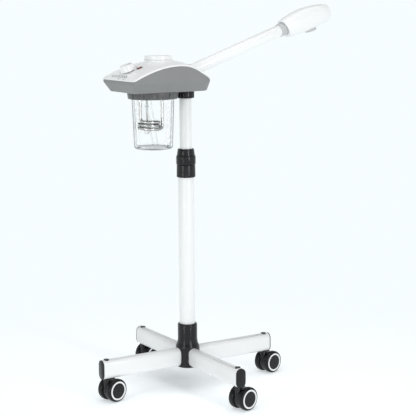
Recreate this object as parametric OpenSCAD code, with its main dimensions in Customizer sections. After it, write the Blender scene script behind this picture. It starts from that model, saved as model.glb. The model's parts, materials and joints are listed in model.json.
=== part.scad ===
// Facial steamer on a height-adjustable rolling stand.
// Origin on the floor on the column's axis, +Z up, the control panel faces -Y, the steam arm points to +Y.

/* [Base] */
// Reach of each base arm, from the column's axis to its end
base_reach = 206; // [185:1:230]
// Height of a base arm's flat-oval section
arm_h = 40; // [34:1:44]
// Width of a base arm
arm_w = 22; // [18:1:24]
// Height of a base arm's underside above the floor
arm_z = 49.4; // [49:0.1:56]
// Outside diameter of the hub's socket
hub_d = 41; // [39:0.5:46]
// Height of the hub's top rim above the floor
hub_top = 140; // [120:1:160]

/* [Casters] */
// Diameter of a caster wheel
wheel_d = 48; // [40:1:48]
// Width across a caster's two wheels
caster_w = 40; // [36:1:44]
// Distance the axle trails behind the stem
trail = 15; // [12:0.5:18]
// Distance from an arm's end to its caster stem
stem_inset = 12; // [10:0.5:16]
// Angle that all four casters are turned by at rest
caster_turn = 13; // [-20:1:20]

/* [Column] */
// Outside diameter of the fixed lower tube
lower_d = 33; // [31:0.5:34]
// Outside diameter of the sliding upper tube, and of the steam arm
upper_d = 25; // [24:0.5:26]
// Height of the lock's bottom edge above the floor
lock_z = 451; // [430:1:470]
// Height of the lock
lock_h = 59; // [56:1:64]

/* [Head] */
// Height of the head's floor above the ground
head_z = 631.5; // [625:0.5:650]
// Half width of the head at its upper edge
head_hw = 67; // [62:0.5:70]
// Half width of the head at its floor
floor_hw = 54; // [53:0.5:58]
// Front end of the head
head_front = -156; // [-165:1:-150]
// Back end of the head
head_back = 28; // [24:1:34]
// Height of the white cover's crown above its edge
crown = 8; // [6:0.5:12]
// Distance of the jar's axis in front of the column
jar_y = -76.5; // [-80:0.5:-74]
// Diameter of the jar at its mouth
jar_d = 87; // [84:0.5:88]
// Visible height of the jar below its collar
jar_h = 102.5; // [96:0.5:110]

/* [Steam arm] */
// Slope of the steam arm above the horizontal
arm_tilt = 19.4; // [15:0.1:25]
// Length of the steam arm
steam_arm_l = 257; // [220:1:300]
// Width of the nozzle head
nozzle_w = 46; // [40:1:52]

/* [Hidden] */
$fn = 64;

gap = 0.3;                  // clearance between parts that move past each other
fit = 0.05;                 // radial clearance of a shaft in its bearing
wall = 1.5;                 // wall of every steel tube
shell = 2.5;                // wall of the head's mouldings
through = 1;                // how far a cutter passes beyond what it cuts

// Base
stem_r = base_reach - stem_inset;
socket_r = 5.5;             // radius of a caster stem's sleeve inside the arm
stem_pin_r = 4;
tube_bottom = arm_z + arm_h + 3.6;
pocket_r = 12;              // inner end of each arm, measured from the axis
screw_r = 16.5;             // hub screws, measured from the axis
cap_t = 2;                  // thickness of an end cap's visible lip

// Casters
fork_hw = 6;
axle_r = 3;
wheel_in = fork_hw + gap;
wheel_out = caster_w / 2 - 0.6;
ring_in = 16;
ring_out = 19.5;
bore_end = wheel_out - 2.2;

// Column
lock_top = lock_z + lock_h;
nut_z = lock_z + 26;
tube_top = head_z + 12.7;
tube_len = 494;

// Head
lid_z = head_z + 3;         // top of the housing's floor, where the boiler lid lies
rim = 3;                    // height of the cover's edge band
panel_tilt = 20;            // slope of the control panel
edge_points = [             // the line where cover and housing meet, seen from the side
    [head_front - 10, 651], [head_front, 655.5], [-120, 670.5], [-84, 680.5], [-47, 683.5],
    [-20, 678.5], [6, 664.5], [head_back, 651.5], [head_back + 10, 646.5]
];
filler_y = -63;
neck_r = 20;
cap_r = 28.6;
seat_z = 694.8;
knob_at = [10.5, -138, 673.9];
switch_at = [25, -120, 680.2];
collar_bottom = 617;
spigot_r = 48.2;
screw_spots = [              // housing screws, with the height that their bosses reach
    [-44, -137, 669.8], [44, -137, 669.8], [-36, 8, 669.2], [36, 8, 669.2]
];
lid_r = 51;
coil_at = [0, -86];
coil_r = 20;
coil_wire = 3;
coil_pitch = 7;
coil_low = 555;
leg_in = [0, coil_at.y - coil_r];
leg_out = [10, -61];
float_at = [-7, -87];
hose_r = 6;                  // fill tube
hose_path = [                // route of the fill tube from the filler's floor to near the jar's bottom
    [0, filler_y, 674], [0, filler_y, 665], [2, -68, 660], [4, -77, 656.5], [6, -86, 654],
    [8, -93, 650.5], [8, -96.2, 645], [8, -95.8, 640], [8, -77, 524]
];
duct_r = 7.5;

// Steam arm
arm_axis_z = 664.6;         // height where the arm's axis crosses the column's axis
arm_start = 5;
socket_out = 14.6;          // radius of the socket round the arm's foot
arm_end = arm_start + steam_arm_l;
outlet_s = 327;

// ---------- shared shapes ----------

function spline(a, b, c, d, t) =
    0.5 * (2 * b + (c - a) * t + (2 * a - 5 * b + 4 * c - d) * t * t
    + (3 * b - a - 3 * c + d) * t * t * t);

// The edge line as a smooth curve through edge_points
function edge_curve(steps = 4) = concat(
    [for (i = [1 : len(edge_points) - 3]) for (k = [0 : steps - 1])
        spline(edge_points[i - 1], edge_points[i], edge_points[i + 1], edge_points[i + 2], k / steps)],
    [edge_points[len(edge_points) - 2]]);

// Points along an arc from angle a to angle b
function arc(centre, r, a, b, steps = 6) =
    [for (i = [0 : steps]) let (t = a + (b - a) * i / steps) centre + r * [cos(t), sin(t)]];

module ring(r_out, r_in, h) {
    difference() {
        cylinder(r = r_out, h = h);
        translate([0, 0, -through]) cylinder(r = r_in, h = h + 2 * through);
    }
}

// A cylinder from point a to point b
module rod(a, b, r) {
    d = b - a;
    translate(a)
        rotate([0, acos(d.z / norm(d)), atan2(d.y, d.x)])
            cylinder(r = r, h = norm(d));
}

// Flat-oval outline, w wide and h high, standing on y = 0
module oval(w, h) {
    translate([-w / 2, w / 2]) square([w, h - w]);
    translate([0, w / 2]) circle(d = w);
    translate([0, h - w / 2]) circle(d = w);
}

// Rounded outline of the head, seen from above, inset by d
module plan(hw, front, back, d = 0, r_front = 6, r_back = 22) {
    polygon(concat(
        arc([hw - r_front, front + r_front], r_front - d, -90, 0),
        arc([hw - r_back, back - r_back], r_back - d, 0, 90),
        arc([r_back - hw, back - r_back], r_back - d, 90, 180),
        arc([r_front - hw, front + r_front], r_front - d, 180, 270)
    ));
}

module plate(hw, front, back, z, d) {
    translate([0, 0, z]) linear_extrude(0.01) plan(hw, front, back, d);
}

// Everything below the edge line
module below_edge() {
    curve = edge_curve();
    outline = concat(curve, [[head_back + 20, 651.5], [head_back + 20, 600], [head_front - 20, 600],
        [head_front - 20, 655.5]]);
    rotate([90, 0, 90])
        translate([0, 0, -100]) linear_extrude(200) polygon(outline);
}

// Solid between the edge line and the crowned top surface, lowered by drop and cut to half width hw
module crowned(drop, hw, low) {
    curve = edge_curve();
    cols = 12;
    xs = [for (j = [0 : cols]) hw * (2 * j / cols - 1)];
    top = [for (p = curve) for (x = xs) [x, p.x, p.y + rim - drop + crown * (1 - pow(x / head_hw, 2))]];
    bottom = [for (p = curve) for (x = xs) [x, p.x, p.y - low]];
    n = len(curve);
    m = cols + 1;
    b = n * m;
    faces = concat(
        [for (i = [0 : n - 2]) for (j = [0 : m - 2])
            [i * m + j, (i + 1) * m + j, (i + 1) * m + j + 1, i * m + j + 1]],
        [for (i = [0 : n - 2]) for (j = [0 : m - 2])
            [b + i * m + j, b + i * m + j + 1, b + (i + 1) * m + j + 1, b + (i + 1) * m + j]],
        [for (j = [0 : m - 2]) [j, j + 1, b + j + 1, b + j]],
        [for (j = [0 : m - 2]) let (k = (n - 1) * m + j) [k + 1, k, b + k, b + k + 1]],
        [for (i = [0 : n - 2]) let (k = i * m) [k + m, k, b + k, b + k + m]],
        [for (i = [0 : n - 2]) let (k = i * m + m - 1) [k, k + m, b + k + m, b + k]]
    );
    polyhedron(concat(top, bottom), faces);
}

// Places children along the steam arm: +Z becomes the arm's axis and s the distance along it
module on_arm(s = 0) {
    translate([0, 0, arm_axis_z]) rotate([arm_tilt - 90, 0, 0]) rotate([0, 0, 180])
        translate([0, 0, s]) children();
}

// Places children on the sloping control panel, with +Z out of it
module on_panel(at) {
    translate(at) rotate([panel_tilt, 0, 0]) children();
}

// ---------- base ----------

module base_hub() {
    low = arm_z - 2.6;
    mid = arm_z + arm_h + 2;
    color("dimgray") difference() {
        rotate_extrude() polygon([
            [0, low], [22, low], [23.6, low + 1.6], [25.2, low + 8], [25.2, mid - 8],
            [24.8, mid], [21.8, mid + 7], [hub_d / 2, mid + 16], [hub_d / 2, hub_top - 1.5],
            [hub_d / 2 - 1.5, hub_top], [0, hub_top]
        ]);
        translate([0, 0, tube_bottom]) cylinder(d = lower_d, h = hub_top);
        for (turn = [0 : 90 : 270]) rotate([0, 0, turn]) {
            translate([pocket_r, 0, arm_z]) rotate([90, 0, 90]) linear_extrude(60) oval(arm_w, arm_h);
            translate([screw_r, 0, low - through]) cylinder(r = 2.5, h = 20);
            translate([screw_r, 0, low - through]) cylinder(r = 4.6, h = through + 1.8);
        }
    }
}

module base_arm(turn) {
    length = base_reach - cap_t - pocket_r;
    color("white") rotate([0, 0, turn]) difference() {
        translate([pocket_r, 0, arm_z]) rotate([90, 0, 90]) linear_extrude(length) oval(arm_w, arm_h);
        translate([pocket_r - through, 0, arm_z + wall]) rotate([90, 0, 90])
            linear_extrude(length + 2 * through) oval(arm_w - 2 * wall, arm_h - 2 * wall);
        translate([stem_r, 0, arm_z - through]) cylinder(r = socket_r, h = arm_h + 2 * through);
        translate([screw_r, 0, arm_z - through]) cylinder(r = 2.5, h = 5);
    }
}

module arm_end_caps() {
    color("black") for (turn = [0 : 90 : 270]) rotate([0, 0, turn])
        translate([base_reach - cap_t, 0, 0]) {
            translate([0, 0, arm_z]) rotate([90, 0, 90]) linear_extrude(cap_t) oval(arm_w, arm_h);
            translate([-4, 0, arm_z + wall]) rotate([90, 0, 90])
                linear_extrude(4) oval(arm_w - 2 * wall, arm_h - 2 * wall);
        }
}

module hub_screws() {
    low = arm_z - 2.6;
    color("silver") for (turn = [0 : 90 : 270]) rotate([0, 0, turn]) translate([screw_r, 0, low]) {
        difference() {
            cylinder(r = 4.6, h = 1.8);
            translate([0, 0, -through]) cylinder(r = 2, h = through + 1, $fn = 6);
        }
        translate([0, 0, 1.8]) cylinder(r = 2.5, h = 9);
    }
}

module caster_stems() {
    color("black") for (turn = [0 : 90 : 270]) rotate([0, 0, turn]) translate([stem_r, 0, 0]) {
        translate([0, 0, 31]) cylinder(r = stem_pin_r, h = arm_z - 31);
        translate([0, 0, arm_z]) cylinder(r = socket_r, h = arm_h + 1);
    }
}

// ---------- casters ----------

// Places children at caster n, with the stem's axis on Z and the axle along X
module at_caster(n) {
    a = 90 * (n - 1);
    translate([stem_r * cos(a), stem_r * sin(a), 0]) rotate([0, 0, caster_turn]) children();
}

module caster_fork(n) {
    color("black") at_caster(n) difference() {
        union() {
            translate([-fork_hw, trail, wheel_d / 2]) rotate([0, 90, 0]) cylinder(r = 21, h = 2 * fork_hw);
            translate([0, 0, 22]) cylinder(r = fork_hw, h = arm_z - gap - 22);
            translate([-bore_end + 0.3, trail, wheel_d / 2]) rotate([0, 90, 0])
                cylinder(r = axle_r, h = 2 * bore_end - 0.6);
        }
        translate([0, 0, 30.7]) cylinder(r = stem_pin_r + fit, h = arm_z);
    }
}

// Half profile of a wheel along the axle, revolved about it
module caster_wheel(n, side) {
    r = wheel_d / 2;
    color("black") at_caster(n) translate([0, trail, r]) rotate([0, side * 90, 0]) rotate_extrude()
        difference() {
            polygon([
                [0, wheel_in], [r - 2, wheel_in], [r - 0.6, wheel_in + 1], [r, wheel_in + 3],
                [r, wheel_out - 3.6], [r - 0.8, wheel_out - 1.4], [r - 2.6, wheel_out],
                [ring_in, wheel_out], [ring_in - 1, wheel_out + 0.4], [0, wheel_out + 0.6]
            ]);
            translate([-1, 0]) square([1 + axle_r + fit, bore_end]);
            translate([ring_in, wheel_out - 1.2]) square([ring_out - ring_in, 3]);
        }
}

module caster_ring(n, side) {
    color("white") at_caster(n) translate([0, trail, wheel_d / 2]) rotate([0, side * 90, 0])
        translate([0, 0, wheel_out - 1.2]) ring(ring_out, ring_in, 1.7);
}

// ---------- column ----------

module lower_tube() {
    color("white") translate([0, 0, tube_bottom])
        ring(lower_d / 2, lower_d / 2 - wall, lock_z + 19 - tube_bottom);
}

module lock_base() {
    color("black") difference() {
        rotate_extrude() polygon([
            [0, lock_z], [18.7, lock_z], [19.7, lock_z + 1.2], [19.3, lock_z + 25],
            [18.6, lock_z + 26], [16.8, lock_z + 26], [16.8, lock_z + 41], [0, lock_z + 41]
        ]);
        translate([0, 0, lock_z - through]) cylinder(d = lower_d, h = 19 + through);
        translate([0, 0, lock_z]) cylinder(r = upper_d / 2 + 0.5, h = lock_h);
        translate([0, 0, nut_z + 3]) cylinder(r = 15.2, h = lock_h);
        for (turn = [0 : 30 : 330]) rotate([0, 0, turn])
            translate([20.4, 0, lock_z + 3]) cylinder(r = 1.4, h = 19);
    }
}

module lock_collet() {
    color("gray") difference() {
        union() {
            translate([0, 0, nut_z + 3]) cylinder(r = 15.2, h = 12);
            translate([0, 0, nut_z + 15]) cylinder(r1 = 16.4, r2 = 14.4, h = 6);
        }
        translate([0, 0, nut_z]) cylinder(r = upper_d / 2 + fit, h = lock_h);
        for (turn = [0 : 60 : 120]) rotate([0, 0, turn])
            translate([-20, -0.6, nut_z + 8]) cube([40, 1.2, 20]);
    }
}

module lock_nut() {
    color("black") difference() {
        rotate_extrude() polygon([
            [0, nut_z + gap], [19.6, nut_z + gap], [20.2, nut_z + 1.5], [20.2, lock_top - 15.4],
            [18.8, lock_top - 14], [17, lock_top - 0.8], [16.2, lock_top], [0, lock_top]
        ]);
        translate([0, 0, nut_z]) cylinder(r = 16.9, h = 21);
        translate([0, 0, nut_z + 20.9]) cylinder(r1 = 16.9, r2 = upper_d / 2 + 0.4, h = 5.2);
        translate([0, 0, nut_z]) cylinder(r = upper_d / 2 + 0.4, h = lock_h);
        for (turn = [0 : 22.5 : 350]) rotate([0, 0, turn])
            translate([21.2, 0, nut_z + 2.4]) cylinder(r = 1.6, h = lock_top - nut_z - 19);
    }
}

module upper_tube() {
    color("white") translate([0, 0, tube_top - tube_len]) ring(upper_d / 2, upper_d / 2 - wall, tube_len);
}

module tube_bush() {
    color("gray") translate([0, 0, tube_top - tube_len])
        ring(lower_d / 2 - wall - 0.1, upper_d / 2, 30);
}

module head_nut() {
    low = head_z - 17;
    color("black") difference() {
        rotate_extrude() polygon([
            [0, low], [16.8, low], [18.4, low + 1.5], [18.5, low + 13.5], [17.6, head_z - gap],
            [0, head_z - gap]
        ]);
        translate([0, 0, low - through]) cylinder(r = upper_d / 2 + gap, h = 30);
        translate([0, 0, low + 7]) cylinder(r = 15.3, h = 30);
        for (turn = [0 : 20 : 340]) rotate([0, 0, turn])
            translate([19.2, 0, low + 2]) cylinder(r = 1.5, h = 11);
    }
}

// ---------- head ----------

module at_screws() {
    for (at = screw_spots) translate([at.x, at.y, 0]) children();
}

module housing_block(d, low) {
    hull() {
        plate(floor_hw, head_front + 10, head_back, low, d);
        plate(head_hw, head_front, head_back, 656, d);
        plate(head_hw, head_front, head_back, 700, d);
    }
}

module lower_housing() {
    boss_r = 16;
    color("gray") difference() {
        union() {
            intersection() {
                difference() {
                    housing_block(0, head_z);
                    housing_block(shell, lid_z);
                }
                below_edge();
            }
            translate([0, 0, head_z - 9]) cylinder(r = 15, h = 10);
            translate([0, 0, head_z]) cylinder(r = boss_r, h = 16);
            at_screws() translate([0, 0, head_z]) cylinder(r = 4.5, h = 8);
        }
        translate([0, 0, head_z - 20]) cylinder(r = upper_d / 2 + fit, h = 20 + tube_top - head_z + fit);
        translate([0, jar_y, head_z - through]) cylinder(r = spigot_r + 0.2, h = 5);
        at_screws() {
            translate([0, 0, head_z - through]) cylinder(r = 3.4, h = through + 2.4);
            translate([0, 0, head_z - through]) cylinder(r = 1.8, h = 20);
        }
        translate([-9.2, head_back - 6, 638]) cube([18.4, 20, 10.4]);
    }
}

module top_cover() {
    color("white") difference() {
        union() {
            difference() {
                intersection() {
                    crowned(0, head_hw + 4, 0);
                    translate([0, 0, 600]) linear_extrude(200) plan(head_hw, head_front, head_back);
                }
                intersection() {
                    crowned(shell, head_hw + 4, 2);
                    translate([0, 0, 600]) linear_extrude(200) plan(head_hw, head_front, head_back, shell);
                }
            }
            translate([0, filler_y, 682]) cylinder(r = cap_r, h = seat_z - 682);
            translate([0, filler_y, 672]) cylinder(r = neck_r + 2.5, h = seat_z + 3.5 - 672);
            for (at = screw_spots) translate([at.x, at.y, at.z - 10]) cylinder(r = 4, h = 10);
        }
        translate([0, filler_y, 674]) cylinder(r = neck_r, h = 60);
        translate([0, filler_y, 660]) cylinder(r = hose_r, h = 60);
        on_arm(-40) cylinder(r = socket_out, h = 100);
        on_panel(knob_at) translate([0, 0, -20]) cylinder(r = 3.4, h = 40);
        on_panel(switch_at) translate([-3.8, -5.5, -20]) cube([7.6, 11, 40]);
        for (at = screw_spots) translate([at.x, at.y, at.z - 20]) cylinder(r = 1.5, h = 17);
    }
}

module arm_socket() {
    color("white") on_arm(4) difference() {
        cylinder(r = socket_out, h = 12);
        translate([0, 0, -through]) cylinder(r = duct_r, h = 30);
        translate([0, 0, arm_start - 4]) cylinder(d = upper_d, h = 30);
    }
}

module housing_screws() {
    color("silver") for (at = screw_spots) translate([at.x, at.y, head_z]) {
        cylinder(r = 3.4, h = 2.4);
        translate([0, 0, 2.4]) cylinder(r = 1.5, h = at.z - head_z - 5.4);
    }
}

module power_inlet() {
    color("black") difference() {
        union() {
            translate([-9.2, head_back - 11, 638]) cube([18.4, 11, 10.4]);
            translate([-11, head_back, 636.2]) cube([22, 1.6, 14]);
        }
        translate([-7.4, head_back - 9, 639.8]) cube([14.8, 20, 6.8]);
    }
    color("silver") for (x = [-4, 4]) translate([x, head_back - 9, 643.2])
        rotate([-90, 0, 0]) cylinder(r = 1.15, h = 7);
}

// ---------- boiler ----------

module boiler_lid() {
    color("lightgray") difference() {
        translate([0, jar_y, 0]) union() {
            translate([0, 0, lid_z]) cylinder(r = lid_r, h = 4);
            translate([0, 0, head_z - 6.2]) ring(spigot_r, 42, lid_z - head_z + 6.2);
        }
        translate([0, 0, lid_z - through]) {
            translate([leg_in.x, leg_in.y, 0]) cylinder(r = coil_wire, h = 10);
            translate([leg_out.x, leg_out.y, 0]) cylinder(r = coil_wire, h = 10);
            translate([float_at.x, float_at.y, 0]) cylinder(r = 2, h = 10);
            translate([0, -45, 0]) cylinder(r = duct_r, h = 10);
        }
        rod(hose_path[7] - [0, 0.8, -5], hose_path[8], hose_r + 0.1);
    }
}

module jar_gasket() {
    color("dimgray") translate([0, jar_y, head_z - 8.2]) ring(47.2, 42.2, 2 - gap);
}

// Unit vector along a path at point i
function along(path, i) =
    let (a = path[max(i - 1, 0)], b = path[min(i + 1, len(path) - 1)]) (b - a) / norm(b - a);

// Ring of points square to the path at point i; side is a direction that the path never follows
function path_ring(path, i, r, side, n) =
    let (t = along(path, i), u = cross(t, side), v = u / norm(u), w = cross(v, t))
    [for (k = [0 : n - 1]) path[i] + r * (cos(360 * k / n) * v + sin(360 * k / n) * w)];

// Faces of one tube wall, rings first to last, offset by base, turned inside out if flip
function wall_faces(rings, n, base, flip) = [for (i = [0 : rings - 2]) for (k = [0 : n - 1])
    let (a = base + i * n, q = (k + 1) % n, f = [a + k, a + q, a + n + q, a + n + k])
    flip ? [f[3], f[2], f[1], f[0]] : f];

// Solid rod swept along a path
module bent_rod(path, r, side, n = 12) {
    m = len(path);
    points = [for (i = [0 : m - 1]) each path_ring(path, i, r, side, n)];
    polyhedron(points, concat(
        wall_faces(m, n, 0, false),
        [[for (k = [n - 1 : -1 : 0]) k]], [[for (k = [0 : n - 1]) (m - 1) * n + k]]
    ));
}

// Open tube swept along a path
module bent_tube(path, r_out, r_in, side, n = 16) {
    m = len(path);
    inner = m * n;
    points = concat(
        [for (i = [0 : m - 1]) each path_ring(path, i, r_out, side, n)],
        [for (i = [0 : m - 1]) each path_ring(path, i, r_in, side, n)]
    );
    polyhedron(points, concat(
        wall_faces(m, n, 0, false), wall_faces(m, n, inner, true),
        [for (k = [0 : n - 1]) let (q = (k + 1) % n) [k, inner + k, inner + q, q]],
        [for (k = [0 : n - 1]) let (q = (k + 1) % n, a = (m - 1) * n)
            [a + q, inner + a + q, inner + a + k, a + k]]
    ));
}

module heating_element() {
    top = lid_z + 10;
    turns = 2;
    sweep = 360 * turns + 90 + atan2(leg_out.y - coil_at.y, leg_out.x - coil_at.x);
    steps = 44;
    drop = coil_pitch * sweep / 360;
    high = coil_low + drop;
    helix = [for (i = [0 : steps]) let (a = -90 + sweep * i / steps)
        [coil_at.x + coil_r * cos(a), coil_at.y + coil_r * sin(a), high - drop * i / steps]];
    path = concat(
        [[leg_in.x, leg_in.y, top], [leg_in.x, leg_in.y, high + 4]],
        [[leg_in.x + 0.5, leg_in.y, high + 1]],
        helix,
        [[leg_out.x - 1, leg_out.y - 2.5, coil_low - 1], [leg_out.x, leg_out.y, coil_low + 2],
        [leg_out.x, leg_out.y, coil_low + 6], [leg_out.x, leg_out.y, top]]
    );
    color("silver") bent_rod(path, coil_wire, [0.36, 0.92, 0.13]);
}

module level_rod() {
    color("silver") translate([float_at.x, float_at.y, 0]) {
        translate([0, 0, 546]) cylinder(r = 2, h = lid_z + 8 - 546);
        translate([0, 0, 545]) cylinder(r = 4, h = 2);
        translate([0, 0, 600]) cylinder(r = 4, h = 2);
    }
}

module level_float() {
    color("white") translate([float_at.x, float_at.y, 547 + gap]) ring(7, 2.3, 16);
}

module fill_tube() {
    color("lightblue") bent_tube(hose_path, hose_r, hose_r - 1.4, [1, 0, 0]);
}

module steam_duct() {
    corner = arm_axis_z - 45 * tan(arm_tilt);
    path = concat(
        [[0, -45, lid_z], [0, -45, corner - 6]],
        [for (a = [15 : 15 : 60]) [0, -36.5 - 8.5 * cos(a), corner - 6 + 8.5 * sin(a)]],
        [[0, arm_start * cos(arm_tilt), arm_axis_z + arm_start * sin(arm_tilt)]]
    );
    color("white") bent_tube(path, duct_r, duct_r - 1.5, [1, 0, 0]);
}

module thermostat() {
    color("silver") translate([-26, -66, lid_z + 4]) {
        cylinder(r = 8, h = 6);
        translate([-9, -0.4, 5]) cube([18, 0.8, 6]);
    }
}

module jar_collar() {
    color("dimgray") translate([0, jar_y, 0]) difference() {
        rotate_extrude() polygon([
            [43.8, collar_bottom], [50, collar_bottom], [50.8, collar_bottom + 1], [52.4, head_z - 1],
            [52, head_z - gap], [spigot_r + gap, head_z - gap], [spigot_r + gap, collar_bottom + 3],
            [43.8, collar_bottom + 3]
        ]);
        for (turn = [10 : 30 : 340]) rotate([0, 0, turn])
            translate([50, -1.8, collar_bottom - through]) cube([5, 3.6, 13]);
    }
}

module water_jar() {
    r = jar_d / 2;
    low = collar_bottom - jar_h;
    color("lightcyan", 0.5) translate([0, jar_y, 0]) rotate_extrude() polygon(concat(
        [[0, low + 1]], [[r - 14, low + 0.4]],
        [for (a = [-80 : 16 : 0]) [r - 11.5 + 7.4 * cos(a), low + 7.4 + 7.4 * sin(a)]],
        [[r - gap / 2, collar_bottom], [r - gap / 2, collar_bottom + 3 + gap],
        [47.8, collar_bottom + 3 + gap], [47.8, head_z - 8.2], [r - 4, head_z - 8.2],
        [r - 4, collar_bottom]],
        [for (a = [0 : -18 : -90]) [r - 11.5 + 4 * cos(a), low + 9 + 4 * sin(a)]],
        [[0, low + 5]]
    ));
}

// ---------- controls ----------

module timer_unit() {
    color("ivory") on_panel(knob_at) difference() {
        union() {
            translate([-14, -11, -22]) cube([28, 22, 17]);
            translate([0, 0, -22]) cylinder(r = 6, h = 18);
        }
        translate([0, 0, -18]) cylinder(r = 3 + fit, h = 30);
    }
}

module timer_knob() {
    color("white") on_panel(knob_at) {
        difference() {
            translate([0, 0, 1.8]) cylinder(r1 = 14.35, r2 = 13.3, h = 12.4);
            translate([-0.7, 4, 13.7]) cube([1.4, 8, 2]);
            for (turn = [0 : 15 : 345]) rotate([0, 0, turn])
                translate([14.6, 0, 3.4]) rotate([0, -5, 0]) cylinder(r = 0.9, h = 14);
        }
        translate([0, 0, -17.5]) cylinder(r = 3, h = 19.3);
    }
}

module switch_body() {
    color("black") on_panel(switch_at) difference() {
        translate([-3.8, -5.5, -14]) cube([7.6, 11, 15.4]);
        translate([-3, -4.6, -5]) cube([6, 9.2, 10]);
    }
}

module switch_rocker() {
    color("darkred") on_panel(switch_at) rotate([8, 0, 0]) difference() {
        translate([-2.7, 0, -0.8]) rotate([0, 90, 0]) cylinder(r = 4.2, h = 5.4);
        translate([-10, -10, -12]) cube([20, 20, 10.4]);
        translate([-10, 0, 1.8]) rotate([7, 0, 0]) cube([20, 20, 10]);
        translate([-10, 0, 1.8]) rotate([-7, 0, 0]) translate([0, -20, 0]) cube([20, 20, 10]);
    }
}

module circuit_board() {
    color("darkgreen") translate([-31.6, -22, lid_z]) cube([1.6, 24, 17]);
    color("black") {
        translate([-37.6, -16, lid_z + 3]) cube([6, 12, 10]);
        translate([-35.6, -3.5, lid_z + 3]) cube([4, 5, 8]);
    }
    color("silver") for (y = [-18 : 6 : -6]) translate([-30, y, lid_z + 2]) cube([3, 4, 6]);
}

module filler_cap() {
    color("white") translate([0, filler_y, 0]) difference() {
        union() {
            translate([0, 0, seat_z + gap]) cylinder(r = cap_r, h = 6.4);
            translate([0, 0, seat_z + gap + 6.4]) cylinder(r1 = cap_r, r2 = cap_r - 1.5, h = 1.5);
        }
        translate([0, 0, seat_z]) cylinder(r = neck_r + 2.5 + gap, h = 5);
    }
}

// ---------- steam arm ----------

module steam_arm() {
    color("white") on_arm(arm_start) ring(upper_d / 2, upper_d / 2 - wall, steam_arm_l);
}

module nozzle_collar() {
    color("gray") on_arm(arm_end - 14) ring(upper_d / 2 + 1.3, upper_d / 2, 16);
}

// One cross-section of the nozzle head: s along the arm, from height low to high across it
module nozzle_slice(s, low, high, width, lean = 0) {
    on_arm(s) translate([0, (low + high) / 2, 0]) rotate([lean, 0, 0])
        scale([width / (high - low), 1, 1]) cylinder(d = high - low, h = 0.2, center = true, $fn = 32);
}

module nozzle_form(d) {
    hull() {
        nozzle_slice(262 + d, -21.5 + d, 18.6 - d, 38 - 2 * d, -11);
        nozzle_slice(285, -24 + d, 23.4 - d, nozzle_w - 2 * d);
        nozzle_slice(300, -25 + d, 24.6 - d, nozzle_w - 2 * d);
        nozzle_slice(322, -25.8 + d, 24.2 - d, nozzle_w - 2 * d);
        nozzle_slice(345, -25.8 + d, 21.5 - d, nozzle_w - 2 * d);
        nozzle_slice(366, -25 + d, 17.6 - d, nozzle_w - 4 - 2 * d);
        nozzle_slice(378 - d, -22.5 + d, 13.5 - d, nozzle_w - 10 - 2 * d);
        nozzle_slice(385 - d, -13 + d, 8 - d, nozzle_w - 22 - 2 * d);
    }
}

module nozzle_shell() {
    color("white") difference() {
        nozzle_form(0);
        difference() {
            nozzle_form(2.2);
            on_arm(240) cylinder(r = 17.5, h = 30);
        }
        on_arm(230) cylinder(r = upper_d / 2 + 1.3 + fit, h = 45);
        on_arm(outlet_s) rotate([90, 0, 0]) cylinder(r = 13, h = 40);
    }
}

module nozzle_outlet() {
    color("gray") on_arm(outlet_s) rotate([90, 0, 0]) translate([0, 0, 21]) ring(13, 9, 8);
}

base_hub();
base_arm(270);  // base_arm_front
base_arm(90);  // base_arm_back
base_arm(180);  // base_arm_left
base_arm(0);  // base_arm_right
arm_end_caps();
hub_screws();
caster_stems();
lower_tube();
lock_base();
lock_collet();
lock_nut();
upper_tube();
tube_bush();
head_nut();
lower_housing();
top_cover();
arm_socket();
housing_screws();
power_inlet();
boiler_lid();
jar_gasket();
heating_element();
level_rod();
level_float();
fill_tube();
steam_duct();
thermostat();
timer_unit();
timer_knob();
switch_body();
switch_rocker();
circuit_board();
filler_cap();
water_jar();
jar_collar();
steam_arm();
nozzle_collar();
nozzle_shell();
nozzle_outlet();
for (n = [1 : 4]) {
    caster_fork(n);
    caster_wheel(n, -1);
    caster_wheel(n, 1);
    caster_ring(n, -1);
    caster_ring(n, 1);
}
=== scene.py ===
import json
import math

import bpy
from mathutils import Matrix, Vector


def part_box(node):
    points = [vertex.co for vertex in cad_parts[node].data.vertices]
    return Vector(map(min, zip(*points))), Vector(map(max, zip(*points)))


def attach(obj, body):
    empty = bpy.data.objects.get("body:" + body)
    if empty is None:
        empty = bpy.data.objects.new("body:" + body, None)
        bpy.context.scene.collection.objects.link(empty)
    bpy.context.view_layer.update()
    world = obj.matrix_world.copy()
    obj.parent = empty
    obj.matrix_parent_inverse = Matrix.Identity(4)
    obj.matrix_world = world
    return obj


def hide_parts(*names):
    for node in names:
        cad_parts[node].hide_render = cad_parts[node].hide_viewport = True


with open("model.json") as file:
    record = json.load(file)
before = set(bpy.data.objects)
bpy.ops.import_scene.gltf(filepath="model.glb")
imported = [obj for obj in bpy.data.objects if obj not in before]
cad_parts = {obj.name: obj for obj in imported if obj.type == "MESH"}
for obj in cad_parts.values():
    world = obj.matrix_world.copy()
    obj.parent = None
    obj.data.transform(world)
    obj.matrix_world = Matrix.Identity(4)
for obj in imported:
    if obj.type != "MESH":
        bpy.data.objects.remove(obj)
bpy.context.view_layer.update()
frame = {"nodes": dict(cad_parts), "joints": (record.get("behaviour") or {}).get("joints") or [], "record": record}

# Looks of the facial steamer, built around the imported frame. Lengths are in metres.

TURN = 2 * math.pi
NODES = frame["nodes"]
JOINTS = {joint["name"]: joint for joint in frame["joints"]}
UP = Vector((0, 0, 1))
PALE = (0.93, 0.985, 1.0)                # the studio background
PAINTED_SHADOW_CENTRE = (-0.065, 0.025, 0)                # middle of the painted shadow on the floor under the base


# ---------- view and studio ----------

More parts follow.
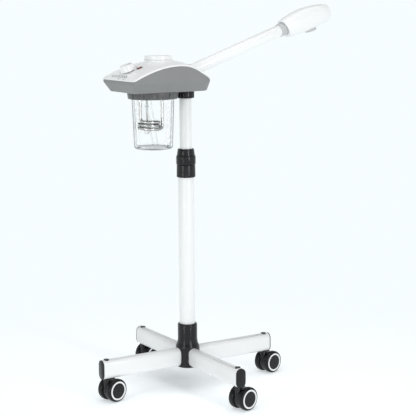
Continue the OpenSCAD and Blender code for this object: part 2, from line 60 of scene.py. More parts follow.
def make_camera():
    """A long lens at table height, turned and tilted a little."""
    azimuth, yaw, pitch, roll = (math.radians(a) for a in (59.069, -0.967, 9.229, -0.368))
    distance, height = 2.671, 0.819
    data = bpy.data.cameras.new("camera")
    data.lens, data.sensor_width = 112.39, 36
    data.clip_end = 200
    camera = bpy.data.objects.new("camera", data)
    bpy.context.scene.collection.objects.link(camera)
    level = Matrix.Rotation(yaw, 3, "Z") @ Vector((-math.sin(azimuth), math.cos(azimuth), 0))
    right = level.cross(UP)
    ahead = level * math.cos(pitch) - UP * math.sin(pitch)
    axes = Matrix((right, right.cross(ahead), -ahead)).transposed() @ Matrix.Rotation(roll, 3, "Z")
    place = Vector((math.sin(azimuth) * distance, -math.cos(azimuth) * distance, height))
    camera.matrix_world = Matrix.Translation(place) @ axes.to_4x4()
    bpy.context.scene.camera = camera


def make_floor():
    """A wide pale floor: a soft shadow near the object, partly real and partly painted by a weaker glow under the
    base, and the background's own colour further out.
    """
    material, nodes, links, shader = new_material("studio_floor")
    shader.inputs["Base Color"].default_value = (0.8, 0.82, 0.83, 1)
    shader.inputs["Roughness"].default_value = 0.9
    shader.inputs["Specular IOR Level"].default_value = 0.0
    shader.inputs["Emission Color"].default_value = (*PALE, 1)
    glow = nodes.new("ShaderNodeEmission")
    glow.inputs["Color"].default_value = (*PALE, 1)
    place = nodes.new("ShaderNodeTexCoord").outputs["Object"]
    reach = nodes.new("ShaderNodeVectorMath")
    reach.operation = "LENGTH"
    links.new(place, reach.inputs[0])
    from_painted_shadow = nodes.new("ShaderNodeVectorMath")
    from_painted_shadow.operation = "DISTANCE"
    from_painted_shadow.inputs[1].default_value = PAINTED_SHADOW_CENTRE
    links.new(place, from_painted_shadow.inputs[0])
    # painted shadow: the floor's glow is weakest within 1 cm of the painted shadow's middle and rises out to 15 cm
    # from it
    strength = remap(nodes, links, from_painted_shadow.outputs["Value"], 0.08, 0.47, 0.01, 0.15)
    links.new(strength, shader.inputs["Emission Strength"])
    mix = nodes.new("ShaderNodeMixShader")
    links.new(remap(nodes, links, reach.outputs["Value"], 0, 1, 0.25, 0.9), mix.inputs[0])
    links.new(shader.outputs[0], mix.inputs[1])
    links.new(glow.outputs[0], mix.inputs[2])
    links.new(mix.outputs[0], nodes["Material Output"].inputs["Surface"])
    half = 60
    corners = [(-half, -half, 0), (half, -half, 0), (half, half, 0), (-half, half, 0)]
    floor = mesh_piece("studio_floor", corners, [(0, 1, 2, 3)])
    floor.data.materials.append(material)


def make_world():
    """Soft surrounding light, brighter at the horizon than overhead."""
    world = bpy.data.worlds.new("studio")
    bpy.context.scene.world = world
    world.use_nodes = True
    nodes, links = world.node_tree.nodes, world.node_tree.links
    background = nodes["Background"]
    direction = nodes.new("ShaderNodeTexCoord")
    split = nodes.new("ShaderNodeSeparateXYZ")
    ramp = nodes.new("ShaderNodeValToRGB")
    links.new(direction.outputs["Generated"], split.inputs[0])
    links.new(split.outputs["Z"], ramp.inputs[0])
    links.new(ramp.outputs[0], background.inputs["Color"])
    ramp.color_ramp.elements[0].color = (*PALE, 1)
    ramp.color_ramp.elements[1].color = (0.22, 0.225, 0.23, 1)
    ramp.color_ramp.elements[0].position = 0.1
    ramp.color_ramp.elements[1].position = 0.7


def area_light(name, place, target, size, power):
    data = bpy.data.lights.new(name, "AREA")
    data.shape, data.size, data.size_y, data.energy = "RECTANGLE", size[0], size[1], power
    light = bpy.data.objects.new(name, data)
    bpy.context.scene.collection.objects.link(light)
    aim = Vector(target) - Vector(place)
    light.matrix_world = Matrix.Translation(place) @ aim.to_track_quat("-Z", "Y").to_matrix().to_4x4()


def make_lights():
    """Two tall soft boxes on either side of the camera, and a wide one overhead."""
    middle = (0, 0, 0.42)
    area_light("key", (2.5, 0.25, 0.9), middle, (0.2, 1.6), 17)
    area_light("fill", (0.9, -2.4, 0.8), middle, (0.18, 1.5), 11)
    area_light("overhead", (0.1, -0.05, 1.95), (0, 0, 0), (1.8, 1.8), 13)


# ---------- materials ----------

def new_material(name):
    material = bpy.data.materials.new(name)
    material.use_nodes = True
    tree = material.node_tree
    return material, tree.nodes, tree.links, tree.nodes["Principled BSDF"]


def noise(nodes, links, scale, detail=4, stretch=None):
    """Noise over the object's own coordinates; scale is in repeats per metre."""
    place = nodes.new("ShaderNodeTexCoord").outputs["Object"]
    if stretch:
        mapping = nodes.new("ShaderNodeMapping")
        mapping.inputs["Scale"].default_value = stretch
        links.new(place, mapping.inputs["Vector"])
        place = mapping.outputs["Vector"]
    texture = nodes.new("ShaderNodeTexNoise")
    texture.inputs["Scale"].default_value = scale
    texture.inputs["Detail"].default_value = detail
    links.new(place, texture.inputs["Vector"])
    return texture.outputs["Fac"]


def remap(nodes, links, value, low, high, start=0.3, stop=0.7):
    change = nodes.new("ShaderNodeMapRange")
    for socket, number in zip(("From Min", "From Max", "To Min", "To Max"), (start, stop, low, high)):
        change.inputs[socket].default_value = number
    links.new(value, change.inputs["Value"])
    return change.outputs["Result"]


def blend_colours(nodes, links, factor, a, b):
    mix = nodes.new("ShaderNodeMix")
    mix.data_type = "RGBA"
    links.new(factor, mix.inputs["Factor"])
    for socket, colour in ((mix.inputs[6], a), (mix.inputs[7], b)):
        if isinstance(colour, tuple):
            socket.default_value = (*colour, 1)
        else:
            links.new(colour, socket)
    return mix.outputs[2]


def add_bump(nodes, links, shader, height, strength, depth=0.0002):
    bump = nodes.new("ShaderNodeBump")
    bump.inputs["Strength"].default_value = strength
    bump.inputs["Distance"].default_value = depth
    links.new(height, bump.inputs["Height"])
    links.new(bump.outputs["Normal"], shader.inputs["Normal"])


SOCKETS = {"coat_weight": "Coat Weight", "coat_roughness": "Coat Roughness",
           "specular_ior_level": "Specular IOR Level"}


def surface(name, colour, rough, grain=1400, relief=0.1, mottle=0.04, worn=None,
            rough_spread=0.05, **sockets):
    """A solid-coloured finish: faint mottling, uneven gloss, a fine grain, edges rubbed to another colour."""
    material, nodes, links, shader = new_material(name)
    dark = tuple(c * (1 - mottle) for c in colour)
    light = tuple(min(1, c * (1 + mottle)) for c in colour)
    broad = noise(nodes, links, 22)
    tone = blend_colours(nodes, links, remap(nodes, links, broad, 0, 1), dark, light)
    if worn:
        edge = nodes.new("ShaderNodeNewGeometry").outputs["Pointiness"]
        rubbed = nodes.new("ShaderNodeMath")
        rubbed.operation = "MULTIPLY"
        links.new(remap(nodes, links, edge, 0, 0.55, 0.53, 0.62), rubbed.inputs[0])
        links.new(remap(nodes, links, noise(nodes, links, 160), 0, 1, 0.42, 0.62), rubbed.inputs[1])
        tone = blend_colours(nodes, links, rubbed.outputs[0], tone, worn)
    links.new(tone, shader.inputs["Base Color"])
    gloss = remap(nodes, links, noise(nodes, links, 60, 6), rough - rough_spread, rough + rough_spread)
    links.new(gloss, shader.inputs["Roughness"])
    add_bump(nodes, links, shader, noise(nodes, links, grain, 3), relief)
    for socket, number in sockets.items():
        shader.inputs[SOCKETS[socket]].default_value = number
    return material


def powder_coat():
    return surface("powder_coat", (0.84, 0.84, 0.84), 0.36, grain=700, relief=0.01, mottle=0.004,
                   rough_spread=0.02, coat_weight=0.2, coat_roughness=0.25)


def white_moulding():
    return surface("white_moulding", (0.82, 0.82, 0.82), 0.3, grain=1100, relief=0.03, mottle=0.005,
                   rough_spread=0.03, coat_weight=0.2, coat_roughness=0.12)


def grey_moulding():
    return surface("grey_moulding", (0.215, 0.215, 0.216), 0.46, grain=1900, relief=0.35, mottle=0.03,
                   worn=(0.3, 0.3, 0.3))


def dark_moulding():
    return surface("dark_moulding", (0.095, 0.095, 0.096), 0.36, grain=1700, relief=0.2, mottle=0.05,
                   worn=(0.15, 0.15, 0.15), specular_ior_level=0.3)


def light_grey_moulding():
    return surface("light_grey_moulding", (0.5, 0.5, 0.51), 0.32, grain=1500, relief=0.12, mottle=0.02)


def black_moulding():
    return surface("black_moulding", (0.007, 0.007, 0.0075), 0.22, grain=1800, relief=0.1, mottle=0.1,
                   worn=(0.04, 0.04, 0.04), specular_ior_level=0.32)


def caster_black():
    return surface("caster_black", (0.004, 0.004, 0.0042), 0.2, grain=1200, relief=0.08, mottle=0.15,
                   worn=(0.03, 0.03, 0.03), rough_spread=0.06, specular_ior_level=0.3)


def dull_rubber():
    return surface("dull_rubber", (0.055, 0.055, 0.055), 0.7, grain=1500, relief=0.4, mottle=0.1)


def milky_moulding():
    return surface("milky_moulding", (0.72, 0.72, 0.69), 0.4, grain=1300, relief=0.15, mottle=0.03)


def rocker_red():
    return surface("rocker_red", (0.34, 0.025, 0.02), 0.2, grain=1000, relief=0.05, mottle=0.05)


def board_green():
    return surface("board_green", (0.03, 0.17, 0.07), 0.35, grain=700, relief=0.2, mottle=0.2)


def bare_steel():
    """Drawn steel, with its fine scratches along the piece."""
    material, nodes, links, shader = new_material("bare_steel")
    shader.inputs["Metallic"].default_value = 1.0
    shader.inputs["Specular Tint"].default_value = (0.08, 0.08, 0.08, 1)
    fine = noise(nodes, links, 500, 3, (1, 1, 0.08))
    tone = blend_colours(nodes, links, remap(nodes, links, noise(nodes, links, 90), 0, 1),
                         (0.45, 0.44, 0.42), (0.68, 0.68, 0.67))
    links.new(tone, shader.inputs["Base Color"])
    links.new(remap(nodes, links, fine, 0.17, 0.34), shader.inputs["Roughness"])
    add_bump(nodes, links, shader, fine, 0.15)
    return material


def clear_moulding(name, tint, rim, rough):
    """Clear plastic with faint hairline scratches, see-through face on, with painted dark shade at its outline
    where it is seen edge on.
    """
    material, nodes, links, shader = new_material(name)
    shader.inputs["IOR"].default_value = 1.45
    weight = nodes.new("ShaderNodeLayerWeight")
    weight.inputs["Blend"].default_value = 0.5
    grazing = remap(nodes, links, weight.outputs["Facing"], 0, 1, 0.6, 0.8)
    # painted shade: the colour turns from the tint to the dark rim colour where the surface is seen edge on
    links.new(blend_colours(nodes, links, grazing, tint, rim), shader.inputs["Base Color"])
    links.new(remap(nodes, links, grazing, 1, 0.35, 0, 1), shader.inputs["Transmission Weight"])
    links.new(remap(nodes, links, weight.outputs["Facing"], 0.06, 1, 0.5, 0.78), shader.inputs["Alpha"])
    scratches = noise(nodes, links, 240, 8, (1, 1, 0.3))
    links.new(remap(nodes, links, scratches, rough, rough + 0.03, 0.55, 0.8), shader.inputs["Roughness"])
    add_bump(nodes, links, shader, noise(nodes, links, 35, 2), 0.05, 0.001)
    return material


# ---------- mesh making ----------

def mesh_piece(name, vertices, faces, smooth=0):
    """A new object; smooth is the angle in degrees below which edges are shaded soft."""
    mesh = bpy.data.meshes.new(name)
    mesh.from_pydata([tuple(v) for v in vertices], [], faces)
    mesh.validate()
    piece = bpy.data.objects.new(name, mesh)
    bpy.context.scene.collection.objects.link(piece)
    if smooth:
        shade(piece, smooth)
    return piece


def shade(piece, angle):
    piece.data.polygons.foreach_set("use_smooth", [True] * len(piece.data.polygons))
    piece.data.set_sharp_from_angle(angle=math.radians(angle))


def loft(name, rings, closed=False, smooth=32):
    """Quads from ring to ring; the last ring joins the first if closed, or both ends get a cap."""
    n, m = len(rings[0]), len(rings)
    faces = []
    for i in range(m if closed else m - 1):
        a, b = i * n, (i + 1) % m * n
        faces += [(a + k, a + (k + 1) % n, b + (k + 1) % n, b + k) for k in range(n)]
    if not closed:
        faces += [tuple(reversed(range(n))), tuple(range((m - 1) * n, m * n))]
    return mesh_piece(name, [p for ring in rings for p in ring], faces, smooth)


def circle(centre, radius, count, height):
    return [Vector((centre[0] + radius * math.cos(TURN * k / count),
                    centre[1] + radius * math.sin(TURN * k / count), height)) for k in range(count)]


def rounded(corners, closed=True, steps=5):
    """Outline through corners (x, y, radius), each rounded by its own radius."""
    points = []
    for i, (x, y, radius) in enumerate(corners):
        here = Vector((x, y))
        if not radius or (not closed and i in (0, len(corners) - 1)):
            points.append(here)
            continue
        before = (Vector(corners[i - 1][:2]) - here).normalized()
        after = (Vector(corners[(i + 1) % len(corners)][:2]) - here).normalized()
        half = before.angle(after) / 2
        centre = here + (before + after).normalized() * radius / math.sin(half)
        u = here + before * radius / math.tan(half) - centre
        w = here + after * radius / math.tan(half) - centre
        total = u.angle(w)
        for k in range(steps + 1):
            t = k / steps
            blend = u * math.sin((1 - t) * total) + w * math.sin(t * total)
            points.append(centre + blend / math.sin(total))
    return points


def lathe(name, profile, place, closed=True, count=96, shape=None, smooth=32):
    """Revolves a profile of (radius, height) about Z, then puts it at place; shape bends the radius."""
    rings = []
    for radius, height in profile:
        ring = []
        for k in range(count):
            angle = TURN * k / count
            r = shape(radius, height, angle) if shape else radius
            ring.append(place @ Vector((r * math.cos(angle), r * math.sin(angle), height)))
        rings.append(ring)
    return loft(name, rings, closed, smooth)


def smooth_path(points, steps):
    """Catmull-Rom curve through points, of any number of coordinates."""
    points = [Vector(p) for p in points]
    ends = [points[0] * 2 - points[1]] + points + [points[-1] * 2 - points[-2]]
    curve = []
    for a, b, c, d in zip(ends, ends[1:], ends[2:], ends[3:]):
        for k in range(steps):
            t = k / steps
            curve.append((b * 2 + (c - a) * t + (a * 2 - b * 5 + c * 4 - d) * t * t
                          + (b * 3 - a - c * 3 + d) * t ** 3) / 2)
    return curve + [points[-1]]


def sweep_rings(path, radius, sides):
    """Circles square to a path, turned as little as possible from one to the next."""
    rings, side = [], None
    for i, point in enumerate(path):
        along = (path[min(i + 1, len(path) - 1)] - path[max(i - 1, 0)]).normalized()
        side = (side - along * side.dot(along)) if side else along.orthogonal()
        side.normalize()
        other = along.cross(side)
        turns = [TURN * k / sides for k in range(sides)]
        rings.append([point + radius * (side * math.cos(a) + other * math.sin(a)) for a in turns])
    return rings


def box_cutter(low, high, place=Matrix.Identity(4)):
    corners = [place @ Vector((x, y, z)) for z in (low[2], high[2]) for y in (low[1], high[1])
               for x in (low[0], high[0])]
    faces = [(0, 2, 3, 1), (4, 5, 7, 6), (0, 1, 5, 4), (2, 6, 7, 3), (0, 4, 6, 2), (1, 3, 7, 5)]
    return mesh_piece("cutter", corners, faces)


def round_cutter(radius, low, high, place=Matrix.Identity(4)):
    return loft("cutter", [[place @ p for p in circle((0, 0), radius, 72, z)] for z in (low, high)], smooth=0)


def cut(piece, cutters, smooth=32):
    """Takes the cutters out of the piece and removes them."""
    for cutter in cutters:
        change = piece.modifiers.new("cut", "BOOLEAN")
        change.operation, change.solver, change.object = "DIFFERENCE", "EXACT", cutter
    bpy.context.view_layer.update()
    result = bpy.data.meshes.new_from_object(piece.evaluated_get(bpy.context.evaluated_depsgraph_get()))
    piece.modifiers.clear()
    piece.data = result
    for cutter in cutters:
        bpy.data.objects.remove(cutter)
    shade(piece, smooth)


def dress(piece, material, body, replaced=()):
    """Gives a new piece its material and body, and hides the nodes it stands for."""
    piece.data.materials.clear()
    piece.data.materials.append(material)
    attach(piece, body)
    if replaced:
        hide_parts(*replaced)
    return piece


# ---------- head ----------

HEAD_LOW, HEAD_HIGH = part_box("top_cover")
HALF, FRONT, BACK = HEAD_HIGH.x, HEAD_LOW.y, HEAD_HIGH.y
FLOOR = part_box("housing_screws")[0].z     # underside of the head, where its screws lie flush
JAR = (0, sum(c.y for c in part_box("water_jar")) / 2)
CAP = (0, sum(c.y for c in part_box("filler_cap")) / 2)
EDGE = ((FRONT - 0.01, 0.651), (FRONT, 0.6555), (-0.12, 0.6705), (-0.084, 0.6805), (-0.047, 0.6835),
        (-0.02, 0.6785), (0.006, 0.6645), (BACK, 0.6515), (BACK + 0.01, 0.6465))
EDGE_LINE = smooth_path(EDGE, 12)
SHELL, BAND, CROWN = 0.0025, 0.003, 0.008


def edge_height(y):
    """Height of the line where cover and housing meet."""
    for a, b in zip(EDGE_LINE, EDGE_LINE[1:]):
        if y <= b.x:
            return a.y + (b.y - a.y) * (y - a.x) / (b.x - a.x)
    return EDGE_LINE[-1].y


def cover_height(x, y):
    rise = max(0.0, min(1.0, (y - FRONT) / 0.01))
    return edge_height(y) + BAND + CROWN * (1 - (x / HALF) ** 2) * rise * rise * (3 - 2 * rise)


def plan(half, front, back, inset=0.0, front_r=0.006, back_r=0.022):
    """Rounded outline of the head seen from above, the same count of points for any inset."""
    corners = ((half - front_r, front + front_r, front_r, -90, 24),
               (half - back_r, back - back_r, back_r, 0, 10),
               (back_r - half, back - back_r, back_r, 90, 24),
               (front_r - half, front + front_r, front_r, 180, 16))
    points = []
    for i, (x, y, radius, start, straight) in enumerate(corners):
        r = radius - inset
        arc = [Vector((x + r * math.cos(math.radians(a)), y + r * math.sin(math.radians(a)), 0))
               for a in (start + 90 * k / 12 for k in range(13))]
        x2, y2, radius2, start2, _ = corners[(i + 1) % 4]
        r2 = radius2 - inset
        stop = Vector((x2 + r2 * math.cos(math.radians(start2)), y2 + r2 * math.sin(math.radians(start2)), 0))
        points += arc + [arc[-1].lerp(stop, k / straight) for k in range(1, straight)]
    return points


def at_height(points, height):
    """Points lifted to a height, or to height(x, y)."""
    return [Vector((p.x, p.y, height(p.x, p.y) if callable(height) else height)) for p in points]


def facing(points, centre, radius):
    """The points of a circle that face the given points."""
    ring = []
    for p in points:
        angle = math.atan2(p.y - centre[1], p.x - centre[0])
        ring.append(Vector((centre[0] + radius * math.cos(angle), centre[1] + radius * math.sin(angle), 0)))
    return ring


def between(a, b, steps):
    """Rings from a to b, without a itself."""
    return [[p.lerp(q, k / steps) for p, q in zip(a, b)] for k in range(1, steps + 1)]


def make_housing(material):
    """The grey lower shell: drafted walls, a rounded foot, and the floor that holds the jar's mouth."""
    draft_top, foot, lip = 0.651, 0.002, 0.0005
    narrow = 0.054

    def wall(inset, level):
        share = (level - FLOOR) / (draft_top - FLOOR)
        low = plan(narrow, FRONT + 0.01, BACK, inset)
        return at_height([p.lerp(q, share) for p, q in zip(low, plan(HALF, FRONT, BACK, inset))], level)

    rings = []
    for k in range(7):
        angle = math.radians(15 * k)
        rings.append(wall(foot * (1 - math.sin(angle)), FLOOR + foot * (1 - math.cos(angle))))
    rings += [wall(0, FLOOR + foot + (draft_top - FLOOR - foot) * k / 6) for k in range(1, 7)]
    outer, inner = plan(HALF, FRONT, BACK), plan(HALF, FRONT, BACK, SHELL)
    rings += between(rings[-1], at_height(outer, lambda x, y: edge_height(y) - lip), 6)
    rings.append(at_height(plan(HALF, FRONT, BACK, lip), lambda x, y: edge_height(y)))
    rings.append(at_height(inner, lambda x, y: edge_height(y)))
    rings += [wall(SHELL, draft_top - 0.0005), wall(SHELL, FLOOR + 0.003)]
    mouth = facing(rings[0], JAR, 0.0482)
    rings.append(at_height(mouth, FLOOR + 0.003))
    rings.append(at_height(mouth, FLOOR))
    housing = loft("lower_housing_shell", rings, closed=True)
    inlet_low, inlet_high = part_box("power_inlet")
    socket_low = (inlet_low.x + 0.0018, BACK - 0.02, inlet_low.z + 0.0018)
    socket_high = (inlet_high.x - 0.0018, BACK + 0.02, inlet_high.z - 0.0018)
    screws = [(-0.044, -0.137), (0.044, -0.137), (-0.036, 0.008), (0.036, 0.008)]
    cutters = [round_cutter(0.0036, -0.01, 0.01, Matrix.Translation((x, y, FLOOR))) for x, y in screws]
    cutters += [box_cutter(socket_low, socket_high), round_cutter(0.0151, FLOOR - 0.01, FLOOR + 0.01)]
    cut(housing, cutters)
    dress(housing, material, "head", ["lower_housing"])
    boss_low, boss_high, boss_in, boss_out = FLOOR - 0.009, FLOOR + 0.016, 0.0127, 0.015
    boss = rounded([(boss_in, boss_low, 0.0004), (boss_out, boss_low, 0.0006),
                    (boss_out, boss_high, 0.0006), (boss_in, boss_high, 0.0004)])
    dress(lathe("column_boss", boss, Matrix.Identity(4)), material, "head")


def make_cover(material):
    """The white crowned cover, with its edge band and the raised seat and neck of the filler."""
    soft, seat_r, neck_r = 0.0018, 0.0286, 0.0225
    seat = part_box("filler_cap")[0].z - 0.0003
    outer = plan(HALF, FRONT, BACK)
    rings = [at_height(outer, lambda x, y: edge_height(y) + 0.0002)]
    for k in range(7):
        angle = math.radians(15 * k)
        drop = soft * (1 - math.sin(angle))
        rings.append(at_height(plan(HALF, FRONT, BACK, soft * (1 - math.cos(angle))),
                               lambda x, y: cover_height(x, y) - drop))
    blend_in = facing(outer, CAP, seat_r + 0.0012)
    rings += [at_height(r, cover_height) for r in between(rings[-1], blend_in, 30)]
    profile = rounded([(seat_r + 0.0012, 0, 0), (seat_r, 0.0015, 0.0008), (seat_r, 1, 0)], closed=False)[1:-1]
    rings += [at_height(facing(outer, CAP, r), lambda x, y: cover_height(x, y) + z) for r, z in profile]
    upper = rounded([(seat_r, seat - 0.006, 0), (seat_r, seat, 0.0008), (neck_r, seat, 0.0005),
                     (neck_r, seat + 0.0035, 0.0008), (0.02, seat + 0.0035, 0.0006), (0.02, 0.674, 0.001),
                     (0.006, 0.674, 0), (0.006, 0.672, 0), (neck_r, 0.672, 0)], closed=False)[1:]
    rings += [at_height(facing(outer, CAP, r), z) for r, z in upper]
    under = facing(outer, CAP, neck_r)
    rings.append(at_height(under, lambda x, y: cover_height(x, y) - SHELL))
    inner = plan(HALF, FRONT, BACK, SHELL)
    rings += [at_height(r, lambda x, y: cover_height(x, y) - SHELL) for r in between(under, inner, 12)]
    rings.append(at_height(inner, lambda x, y: edge_height(y) + 0.0002))
    cover = loft("crowned_cover", rings, closed=True, smooth=40)
    switch = PANEL_TURN.copy()
    switch.translation = JOINTS["power_rocker"]["pos_m"]
    knob = PANEL_TURN.copy()
    knob.translation = JOINTS["timer_turn"]["pos_m"]
    cut(cover, [box_cutter((-0.0038, -0.0055, -0.01), (0.0038, 0.0055, 0.01), switch),
                round_cutter(0.0034, -0.02, 0.02, knob), round_cutter(0.0145, -0.03, 0.06, ARM)], 40)
    dress(cover, material, "head", ["top_cover"])


# ---------- steam arm ----------

def arm_place():
    """Local +Z runs along the steam arm and +Y points up from it; the origin is on the column's axis."""
    along = Vector(JOINTS["nozzle_swivel"]["axis"]).normalized()
    point = Vector(JOINTS["nozzle_swivel"]["pos_m"])
    start = point - along * (point.y / along.y)
    side = Vector((-1, 0, 0))
    axes = Matrix((side, along.cross(side), along)).transposed()
    return Matrix.Translation(start) @ axes.to_4x4()


ARM = arm_place()
PANEL_TURN = Matrix.Rotation(math.radians(20), 4, "X")


def make_nozzle(material):
    """The nozzle's hollow hood, lofted along the arm, with a bore for the arm and an outlet hole."""
    # distance along the arm, lower and upper edge, half width
    stations = [(0.262, -0.0215, 0.0186, 0.019), (0.275, -0.0229, 0.0216, 0.0212),
                (0.29, -0.0242, 0.0239, 0.0227), (0.306, -0.0252, 0.0246, 0.023),
                (0.324, -0.0258, 0.0242, 0.023), (0.342, -0.0257, 0.0219, 0.0225),
                (0.358, -0.0254, 0.0189, 0.0212), (0.37, -0.0248, 0.0157, 0.0188),
                (0.378, -0.0228, 0.0126, 0.0152), (0.383, -0.0185, 0.0088, 0.0106),
                (0.385, -0.012, 0.003, 0.005)]
    count, power, lean = 72, 2 / 2.35, math.tan(math.radians(11))
    curve = smooth_path(stations, 4)

    def section(s, low, high, half, inset=0.0):
        ring = []
        for k in range(count):
            c, d = math.cos(TURN * k / count), math.sin(TURN * k / count)
            x = (half - inset) * math.copysign(abs(c) ** power, c)
            t = (low + high) / 2 + ((high - low) / 2 - inset) * math.copysign(abs(d) ** power, d)
            fade = max(0.0, min(1.0, (0.3 - s) / 0.038))
            ring.append(ARM @ Vector((x, t, s - lean * t * fade)))
        return ring

    def bore(radius, s, slope):
        return [ARM @ Vector((radius * math.cos(TURN * k / count), radius * math.sin(TURN * k / count),
                              s - slope * radius * math.sin(TURN * k / count))) for k in range(count)]

    wall = 0.0022
    rings = [section(*s) for s in reversed(curve)]
    mouth = stations[0]
    rings.append(section(mouth[0] - 0.0004, *mouth[1:], 0.0004))
    rings.append(section(mouth[0] - 0.0006, *mouth[1:], 0.0012))
    rings += [bore(0.0145, mouth[0] - 0.0006, lean), bore(0.01395, mouth[0], lean), bore(0.01395, 0.27, 0)]
    rings.append(section(0.272, *curve[4][1:], wall))
    rings += [section(*s, wall) for s in curve if 0.276 < s[0] < 0.381]
    hood = loft("nozzle_hood", rings, closed=False, smooth=50)
    outlet = sum((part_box("nozzle_outlet")[i] for i in (0, 1)), Vector()) / 2
    distance = (ARM.inverted() @ outlet).z
    down = ARM @ Matrix.Translation((0, 0, distance)) @ Matrix.Rotation(math.radians(90), 4, "X")
    cut(hood, [round_cutter(0.013, 0.012, 0.04, down)], 50)
    dress(hood, material, "nozzle", ["nozzle_shell"])


# ---------- boiler ----------

def make_jar(material):
    """The clear jar: a tapered wall, a thick rounded bottom and a flange that the collar holds."""
    low, high = (corner.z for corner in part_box("water_jar"))
    mouth, foot, thick, flange = 0.0433, 0.0394, 0.0038, 0.0476
    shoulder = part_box("jar_collar")[0].z + 0.003
    profile = rounded([(0.001, low + 0.0012, 0), (foot - 0.006, low + 0.0004, 0), (foot, low, 0.006),
                       (mouth, shoulder - 0.001, 0), (mouth, shoulder + 0.0005, 0),
                       (flange, shoulder + 0.0005, 0.0006),
                       (flange, high, 0.0006), (mouth - thick + 0.0005, high, 0.0006),
                       (mouth - thick, shoulder, 0), (foot - thick, low + 0.005, 0.005),
                       (0.001, low + 0.005, 0)],
                      closed=False, steps=10)
    place = Matrix.Translation((*JAR, 0))
    jar = lathe("clear_jar", profile, place, closed=False, count=144, smooth=40)
    dress(jar, material, "jar", ["water_jar"])


def make_heater(material):
    """The heating element: two legs and a coil of a little over two turns."""
    x, y, radius, wire, pitch, low = 0, -0.086, 0.02, 0.003, 0.007, 0.555
    leg_out = Vector((0.01, -0.061))
    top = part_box("heating_element")[1].z
    sweep = 2 * TURN + TURN / 4 + math.atan2(leg_out.y - y, leg_out.x - x)
    drop = pitch * sweep / TURN
    steps = 110
    coil = []
    for i in range(steps + 1):
        angle = sweep * i / steps - TURN / 4
        height = low + drop * (1 - i / steps)
        coil.append((x + radius * math.cos(angle), y + radius * math.sin(angle), height))
    first = [(x, y - radius, top), (x, y - radius, low + drop + 0.02), (x, y - radius, low + drop + 0.005)]
    last = [(leg_out.x - 0.0002, leg_out.y - 0.0008, low + 0.003), (*leg_out, low + 0.01),
            (*leg_out, low + 0.03), (*leg_out, top)]
    path = smooth_path(first, 6) + [Vector(p) for p in coil[2:-3]] + smooth_path(last, 6)
    dress(loft("heater_coil", sweep_rings(path, wire, 24), smooth=40), material, "head",
          ["heating_element"])


def make_fill_tube(material):
    """The clear tube that carries water from the filler to near the jar's bottom."""
    route = [(0, -0.063, 0.674), (0, -0.063, 0.665), (0.002, -0.068, 0.66), (0.004, -0.077, 0.6565),
             (0.006, -0.086, 0.654), (0.008, -0.093, 0.6505), (0.008, -0.0962, 0.645), (0.008, -0.0958, 0.64),
             (0.008, -0.0864, 0.582), (0.008, -0.077, 0.524)]
    path = smooth_path(route, 8)
    outer, inner = sweep_rings(path, 0.006, 32), sweep_rings(path, 0.0046, 32)
    tube = loft("fill_tube_clear", outer + inner[::-1], closed=True, smooth=40)
    dress(tube, material, "head", ["fill_tube"])


# ---------- controls ----------

def joint_place(name):
    """Local +Z on a joint's axis, at its centre, with +X kept level."""
    joint = JOINTS[name]
    z = Vector(joint["axis"]).normalized()
    x = Vector((1, 0, 0))
    axes = Matrix((x, z.cross(x), z)).transposed()
    return Matrix.Translation(joint["pos_m"]) @ axes.to_4x4()


def make_knob(material, mark_material):
    """The timer's knob: a fluted skirt, a softly dished top and an inlaid pointer."""
    def flutes(radius, height, angle):
        groove = max(0.0, math.cos(24 * angle)) ** 3
        fade = min(1.0, max(0.0, (height - 0.0032) / 0.001)) * min(1.0, max(0.0, (0.0134 - height) / 0.0008))
        return radius - 0.0006 * groove * fade * (radius > 0.011)

    side = [(0.0143 - 0.0009 * k / 10, 0.0022 + 0.011 * k / 10, 0) for k in range(11)]
    profile = rounded([(0.001, 0.0019, 0), (0.0138, 0.0018, 0)] + side
                      + [(0.0132, 0.0142, 0.0011), (0.0108, 0.0142, 0.0006), (0.0104, 0.0137, 0.0006),
                         (0.001, 0.0136, 0)], closed=False)
    place = joint_place("timer_turn")
    dress(lathe("timer_dial", profile, place, closed=False, count=240, shape=flutes), material, "knob",
          ["timer_knob"])
    bar = box_cutter((-0.0006, 0.0035, 0.0134), (0.0006, 0.0102, 0.0141), place)
    bar.name = "dial_pointer"
    soften(bar, 0.0002)
    dress(bar, mark_material, "knob")


def make_cap(material):
    """The filler's cap: a shallow lid with a raised rim, open below for the neck."""
    low, high = (corner.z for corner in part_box("filler_cap"))
    radius, bore = 0.0286, 0.0228
    profile = rounded([(0.001, high - 0.001, 0), (0.0222, high - 0.0008, 0.001), (0.0234, high, 0.0008),
                       (radius - 0.0008, high, 0.0015), (radius, low, 0.0006), (bore, low, 0.0004),
                       (bore, low + 0.0047, 0.0006), (0.001, low + 0.0047, 0)], closed=False)
    place = Matrix.Translation((*CAP, 0))
    dress(lathe("filler_lid", profile, place, closed=False, count=120), material, "cap",
          ["filler_cap"])


def soften(piece, width, angle=30, segments=2):
    """Rounds a piece's edges; the modifier stays on the piece."""
    bevel = piece.modifiers.new("soft_edges", "BEVEL")
    bevel.width, bevel.segments, bevel.angle_limit = width, segments, math.radians(angle)
    bevel.harden_normals = True
    shade(piece, 40)


def raised_bar(x, y, angle, length, width, depth=0.00035):
    """Corners and faces of a small bar that lies on the cover, turned by angle about the vertical."""
    c, s = math.cos(angle), math.sin(angle)
    corners = []
    for lift in (-0.0004, depth):
        for u, v in ((-length, -width), (length, -width), (length, width), (-length, width)):
            px, py = x + (u * c - v * s) / 2, y + (u * s + v * c) / 2
            corners.append((px, py, cover_height(px, py) + lift))
    faces = [(3, 2, 1, 0), (4, 5, 6, 7), (0, 1, 5, 4), (1, 2, 6, 5), (2, 3, 7, 6), (3, 0, 4, 7)]
    return corners, faces


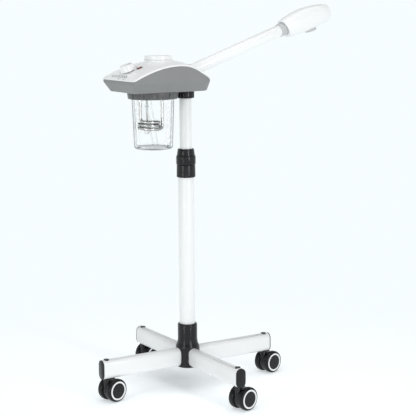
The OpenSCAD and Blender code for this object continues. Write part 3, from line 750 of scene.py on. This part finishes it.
def make_dial_marks(material):
    """Plain ticks round the knob, every fifth one longer, a front row, and a stroke by the rocker."""
    centre = Vector(JOINTS["timer_turn"]["pos_m"])
    bars = []
    for k in range(31):
        angle = math.radians(-60 + 10 * k)
        major = k % 5 == 0
        reach = 0.0178 + (0.0026 if major else 0.0016) / 2
        bars.append(raised_bar(centre.x + reach * math.cos(angle), centre.y + reach * math.sin(angle), angle,
                               0.0026 if major else 0.0014, 0.0007 if major else 0.0004))
    for k in range(9):
        bars.append(raised_bar(-0.031 + 0.0072 * k, -0.1514, math.radians(90), 0.0024, 0.0019))
    rocker = Vector(JOINTS["power_rocker"]["pos_m"])
    bars.append(raised_bar(rocker.x - 0.0085, rocker.y, math.radians(90), 0.003, 0.0005))
    vertices, faces = [], []
    for corners, sides in bars:
        faces += [tuple(i + len(vertices) for i in side) for side in sides]
        vertices += corners
    dress(mesh_piece("dial_marks", vertices, faces), material, "head")


# ---------- nodes kept from the frame ----------

def finish_nodes(materials):
    """Gives every kept node its slot's material, soft shading and slightly rounded edges."""
    slots = {part["node"]: part["material_slot"] for part in frame["record"]["subparts"]}
    for name, node in NODES.items():
        node.data.materials.clear()
        node.data.materials.append(materials[slots[name]])
        weld = node.modifiers.new("weld", "WELD")
        weld.merge_threshold = 0.000005
        soften(node, 0.0003, 40)


def main():
    make_camera()
    make_floor()
    make_world()
    make_lights()
    finishes = {
        "white_steel": powder_coat(), "white_plastic": white_moulding(), "grey_plastic": grey_moulding(),
        "dark_grey_plastic": dark_moulding(), "black_plastic": black_moulding(),
        "wheel_rubber": caster_black(), "steel": bare_steel(), "gasket_rubber": dull_rubber(),
        # the clear finish's second colour is the painted dark shade at its outline
        "clear_plastic": clear_moulding("clear_moulding", (0.95, 0.99, 1.0), (0.03, 0.04, 0.045), 0.01),
        "natural_plastic": milky_moulding(), "switch_red": rocker_red(),
        "board_green": board_green(), "light_grey_plastic": light_grey_moulding(),
    }
    finish_nodes(finishes)
    make_housing(finishes["grey_plastic"])
    make_cover(finishes["white_plastic"])
    make_nozzle(finishes["white_plastic"])
    make_jar(finishes["clear_plastic"])
    make_heater(finishes["steel"])
    make_fill_tube(finishes["clear_plastic"])
    make_knob(finishes["white_plastic"], finishes["dark_grey_plastic"])
    make_cap(finishes["white_plastic"])
    make_dial_marks(finishes["dark_grey_plastic"])


bpy.context.scene.view_settings.view_transform = "Standard"
main()
